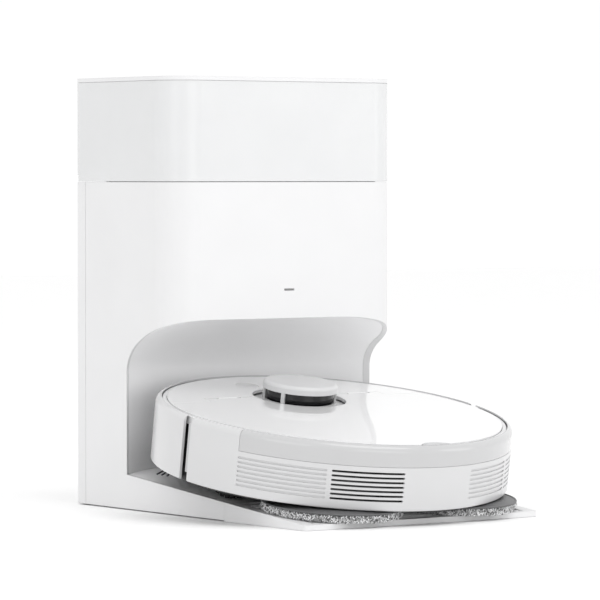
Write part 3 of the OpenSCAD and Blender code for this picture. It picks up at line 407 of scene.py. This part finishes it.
def piece(ob, body, material, slot, *stands_for):
    """The object gets its material and its body, and the CAD nodes that it stands for are hidden."""
    ob.data.materials.clear()
    ob.data.materials.append(material)
    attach(ob, body)
    if stands_for:
        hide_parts(*stands_for)
    return ob


def block(r0, r1, z0, z1, a0, a1, steps):
    """A piece of ring between two radii, two heights and two angles."""
    return lathe([(r0, z0), (r1, z0), (r1, z1), (r0, z1)], steps, a0, a1)


shell = raw("rear_wall", lathe(shell_outline(), 174, TAIL - SHELL_HALF, TAIL + SHELL_HALF), ROBOT)
# Groups of slots: first and last angle from the tail, and how deep they are cut
SLOT_ROWS, SLOT_LOW, SLOT_PITCH, SLOT_HALF = 7, 30.1, 4.35, 1.0
GROOVE, THROUGH = 1.2, 6.0
GROUPS = ((-66.7, -37.7, GROOVE), (-36.2, -12.9, THROUGH), (12.9, 36.2, GROOVE), (37.7, 66.7, GROOVE))
cuts = [lathe(band_outline(BAND_DEPTH, -1.0, BAND_LOW, 80), 134, TAIL - BAND_HALF, TAIL + BAND_HALF)]
for first, last, deep in GROUPS:
    for row in range(SLOT_ROWS):
        cuts.append(slot_cutter(first, last, SLOT_LOW + SLOT_PITCH * row, deep))
carve(shell, raw("cutter", join(*cuts), ROBOT))
finish_normals(shell)
piece(shell, "robot", MAT["white_shell"], "white_shell", "rear_shell")

# Tongues that close the gaps between the side wall and the sprung bumper
TONGUE_IN, TONGUE_OUT, TONGUE_LOW, TONGUE_HIGH = 170.9, 173.3, 28.5, 75.0
for side, mid in (("left", TAIL - SHELL_HALF), ("right", TAIL + SHELL_HALF)):
    out = -1 if side == "left" else 1
    strip = block(TONGUE_IN, TONGUE_OUT, TONGUE_LOW, TONGUE_HIGH, mid - out * 1.5, mid + out * 1.9, 6)
    tongue = raw("gap_tongue_" + side, strip, ROBOT)
    modify(tongue, "BEVEL", width=0.4 * MM, segments=2, limit_method="ANGLE")
    finish_normals(tongue)
    # The tongue's white plastic takes the darker grey as painted shade.
    piece(tongue, "robot", TONGUE, "white_shell")

skin = band_outline(BAND_DEPTH - BAND_GAP, 0.05, BAND_LOW + 0.15, None)
band = raw("rear_band", lathe(skin, 134, TAIL - BAND_HALF + BAND_GAP, TAIL + BAND_HALF - BAND_GAP), ROBOT)
finish_normals(band)
piece(band, "robot", MAT["silver_window"], "silver_window", "rear_window")

EYE_LOW, EYE_HIGH, EYE_HALF, EYE_DEPTH, EYE_GAP = 50.0, 72.0, 30.2, 1.8, 0.15
nose = raw("bumper_wall", lathe(shell_outline(), 178, NOSE - BUMPER_HALF, NOSE + BUMPER_HALF), ROBOT)
recess = block(BODY_R - EYE_DEPTH, BODY_R + PAST_WALL, EYE_LOW, EYE_HIGH, NOSE - EYE_HALF, NOSE + EYE_HALF, 60)
carve(nose, raw("cutter", recess, ROBOT))
finish_normals(nose)
piece(nose, "bumper", MAT["white_shell"], "white_shell", "bumper")
pane = [(r, z) for z in (EYE_LOW + EYE_GAP, EYE_HIGH - EYE_GAP) for r in (BODY_R - 1.75, BODY_R - 0.05)]
pane = rounded([pane[0], pane[1], pane[3], pane[2]], [0, 0.35, 0.35, 0])
eye = raw("bumper_eye", lathe(pane, 60, NOSE - EYE_HALF + 0.1, NOSE + EYE_HALF - 0.1), ROBOT)
finish_normals(eye)
piece(eye, "bumper", MAT["black_gloss"], "black_gloss", "bumper_window")


# ---------------------------------------------------------------- mops
MOP_X, MOP_Y = 69.0, -102.0
DISC_Z, PAD_Z = 7.8, 0.3                           # undersides above the mops' ground plane
LOOP_ROWS, LOOPS_A_ROW, LOOP_PITCH = 5, 168, 1.3   # yarn round a pad's rim
SOLE_RINGS, SOLE_STEP = 7, 8.0                     # yarn under a pad


def mop_disc(side):
    """A shallow cone with a raised lip round its edge and a hub."""
    x, y, z = side * MOP_X, MOP_Y, DISC_Z
    lip = [(0.4, 0.05), (66.4, 0.05), (67.4, 0.5), (67.6, 1.2), (67.1, 1.8), (66.2, 1.8), (65.6, 1.2)]
    cone = [(62.0, 1.6), (55.0, 2.6), (40.0, 2.8), (19.0, 2.9), (18.0, 3.4)]
    hub = [(17.6, 5.6), (17.0, 6.0), (5.5, 6.0), (5.0, 6.6), (5.0, 21.5), (4.4, 22.0), (0.4, 22.0)]
    outline = [(r, z + h) for r, h in lip + cone + hub]
    ob = raw("mop_disc_" + ("right" if side > 0 else "left"), lathe(outline, 120, centre=(x, y)), MOPS)
    finish_normals(ob, 40)
    return ob


def loop(verts, faces, root, out, up, size, thick):
    """A small arched worm of yarn that stands out from its root."""
    side = out.cross(up)
    k = len(verts)
    steps, ring = 4, 4
    for i in range(steps + 1):
        a = math.pi * i / steps
        centre = root + up * (math.cos(a) * size * 0.5) + out * (math.sin(a) * size * 0.62)
        normal = (up * math.cos(a) + out * math.sin(a))
        w = thick * (0.75 + 0.25 * math.sin(a))
        for j in range(ring):
            b = 2 * math.pi * j / ring
            verts.append(tuple(centre + normal * (w * math.cos(b)) + side * (w * math.sin(b))))
    for i in range(steps):
        for j in range(ring):
            m = (j + 1) % ring
            low, high = k + i * ring, k + (i + 1) * ring
            faces.append((low + j, low + m, high + m, high + j))
    faces.append(tuple(k + j for j in range(ring)))
    faces.append(tuple(k + steps * ring + j for j in reversed(range(ring))))


def mop_pad(side):
    """A round pad with rows of yarn loops round its rim and over its sole."""
    name = "right" if side > 0 else "left"
    x, y, z = side * MOP_X, MOP_Y, PAD_Z
    outline = ([(0.4, z + 0.5), (62.5, z + 0.5)] + arc(63.2, z + 3.6, 3.1, -70, 70, 8)
               + [(62.0, z + 7.5), (0.4, z + 7.5)])
    body = raw("mop_pad_" + name, lathe(outline, 120, centre=(x, y)), MOPS)
    finish_normals(body, 50)
    rng = random.Random(11 + side)
    verts, faces = [], []
    for row in range(LOOP_ROWS):
        height = z + 1.5 + LOOP_PITCH * row
        reach = 65.4 + 0.8 * math.cos((row - LOOP_ROWS // 2) * 0.6)
        for i in range(LOOPS_A_ROW):
            a = 2 * math.pi * (i + 0.5 * (row % 2) + rng.uniform(-0.3, 0.3)) / LOOPS_A_ROW
            out = Vector((math.cos(a), math.sin(a), 0))
            tilt = rng.uniform(-1.2, 1.2)
            up = (Vector((0, 0, 1)) * math.cos(tilt) + Vector((-out.y, out.x, 0)) * math.sin(tilt))
            root = Vector((x, y, height + rng.uniform(-0.3, 0.3))) + out * (reach + rng.uniform(-0.2, 0.3))
            loop(verts, faces, root, out, up, rng.uniform(1.9, 2.4), rng.uniform(0.42, 0.6))
    for ring in range(SOLE_RINGS):
        radius = 12 + SOLE_STEP * ring
        count = int(radius * 0.95)
        for i in range(count):
            a = 2 * math.pi * (i + rng.random()) / count
            r = radius + rng.uniform(-2.5, 2.5)
            tilt = rng.uniform(0, math.pi)
            root = Vector((x + r * math.cos(a), y + r * math.sin(a), z + 1.0))
            along = Vector((math.cos(tilt), math.sin(tilt), 0))
            loop(verts, faces, root, Vector((0, 0, -1)), along, 1.5, 0.36)
    loops = raw("mop_yarn_" + name, (verts, faces), MOPS)
    for poly in loops.data.polygons:
        poly.use_smooth = True
    return body, loops


for side, name in ((-1, "left"), (1, "right")):
    piece(mop_disc(side), "mop_" + name, MAT["grey_trim"], "grey_trim", name + "_mop_disc")
    pad, loops = mop_pad(side)
    piece(pad, "mop_" + name, MAT["mop_cloth"], "mop_cloth", name + "_mop_pad")
    piece(loops, "mop_" + name, YARN, "mop_cloth")


# ---------------------------------------------------------------- tyres
TYRE_X0, TYRE_X1, TYRE_R, TYRE_IN_R, AXLE_Z = 105.0, 125.0, 35.6, 29.65, 36.0
KNOB_H, KNOB_HALF, KNOBS, TYRE_STEPS = 1.9, 2.3, 26, 96


def tyre(side):
    """A rubber band with staggered diamond knobs."""
    x0, x1, r, steps = TYRE_X0, TYRE_X1, TYRE_R, TYRE_STEPS
    base = r - KNOB_H
    verts, faces = [], []

    def place(x, radius, a):
        return (side * x, radius * math.cos(a), AXLE_Z + radius * math.sin(a))

    half = [(0.2, TYRE_IN_R), (0, 30.2), (0, base - 1.2), (1.2, base)]
    outline = [(x0 + d, q) for d, q in half] + [(x1 - d, q) for d, q in reversed(half)]
    n = len(outline)
    for i in range(steps):
        a = 2 * math.pi * i / steps
        verts += [place(x, q, a) for x, q in outline]
    for i in range(steps):
        for k in range(n):
            m, j = (k + 1) % n, (i + 1) % steps
            faces.append((i * n + k, j * n + k, j * n + m, i * n + m))
    for row in range(5):
        x = (x0 + x1) / 2 + 3.8 * (row - 2)
        for i in range(KNOBS):
            a = 2 * math.pi * (i + 0.5 * (row % 2)) / KNOBS
            da = math.pi / KNOBS * 0.86
            k = len(verts)
            for level, grow in ((base - 0.4, 1.0), (r - 0.35, 0.86), (r, 0.66)):
                for dx, dt in ((-KNOB_HALF, 0), (0, -da), (KNOB_HALF, 0), (0, da)):
                    verts.append(place(x + dx * grow, level, a + dt * grow))
            for low in (k, k + 4):
                for q in range(4):
                    w = (q + 1) % 4
                    faces.append((low + q, low + w, low + 4 + w, low + 4 + q))
            faces.append((k + 8, k + 9, k + 10, k + 11))
            faces.append((k + 3, k + 2, k + 1, k))
    ob = raw("tyre_" + ("right" if side > 0 else "left"), (verts, faces), ROBOT)
    finish_normals(ob, 35)
    return ob


piece(tyre(-1), "wheel_left", MAT["tyre_black"], "tyre_black", "left_tyre")
piece(tyre(1), "wheel_right", MAT["tyre_black"], "tyre_black", "right_tyre")

# ---------------------------------------------------------------- camera, floor and light
CAM_X, CAM_FROM_FRONT, CAM_Z = -2.3469, 3.2493, 0.3308
cam = bpy.data.objects.new("camera", bpy.data.cameras.new("camera"))
scene.collection.objects.link(cam)
az, el = math.radians(35.99), math.radians(1.77)
look = Vector((math.sin(az) * math.cos(el), math.cos(az) * math.cos(el), -math.sin(el)))
right = Vector((math.cos(az), -math.sin(az), 0))
up = right.cross(look)
cam.matrix_world = (Matrix.Translation((CAM_X, FRONT_Y - CAM_FROM_FRONT, CAM_Z))
                    @ Matrix((right, up, -look)).transposed().to_4x4())
cam.data.lens = 243.07
cam.data.sensor_width = 36.0
cam.data.clip_end = 60.0
scene.camera = cam

world = bpy.data.worlds.new("studio")
scene.world = world
world.use_nodes = True
world.node_tree.nodes["Background"].inputs["Color"].default_value = (1.0, 1.0, 1.0, 1)
world.node_tree.nodes["Background"].inputs["Strength"].default_value = 1.01

floor_mat = plastic("floor_pale", (0.985, 0.985, 0.985), 0.75, grain=60.0, strength=0.02,
                    vary=0.004, specular=0.1)
FLOOR_HALF = 8.0
me = bpy.data.meshes.new("floor")
me.from_pydata([(x * FLOOR_HALF, y * FLOOR_HALF, 0) for x, y in ((-1, -1), (1, -1), (1, 1), (-1, 1))],
               [], [(0, 1, 2, 3)])
floor = bpy.data.objects.new("floor", me)
floor.data.materials.append(floor_mat)
scene.collection.objects.link(floor)


def area(name, at, to, size, power):
    """A round soft light at one point, turned to another."""
    light = bpy.data.objects.new(name, bpy.data.lights.new(name, "AREA"))
    light.data.shape = "DISK"
    light.data.size = size
    light.data.energy = power
    light.location = at
    light.rotation_euler = (Vector(to) - Vector(at)).to_track_quat("-Z", "Y").to_euler()
    scene.collection.objects.link(light)


area("key", (2.4, -2.2, 0.9), (0, 0, 0.1), 1.6, 6.0)
area("low", (-0.2, -2.0, 0.1), (0, 0, 0.16), 1.2, 3.2)
area("side", (-1.9, -1.0, 0.8), (0, 0, 0.05), 1.2, 2.5)
area("top", (0.3, -1.5, 3.2), (0, 0, 0), 2.2, 21.0)
scene.view_settings.view_transform = "Standard"
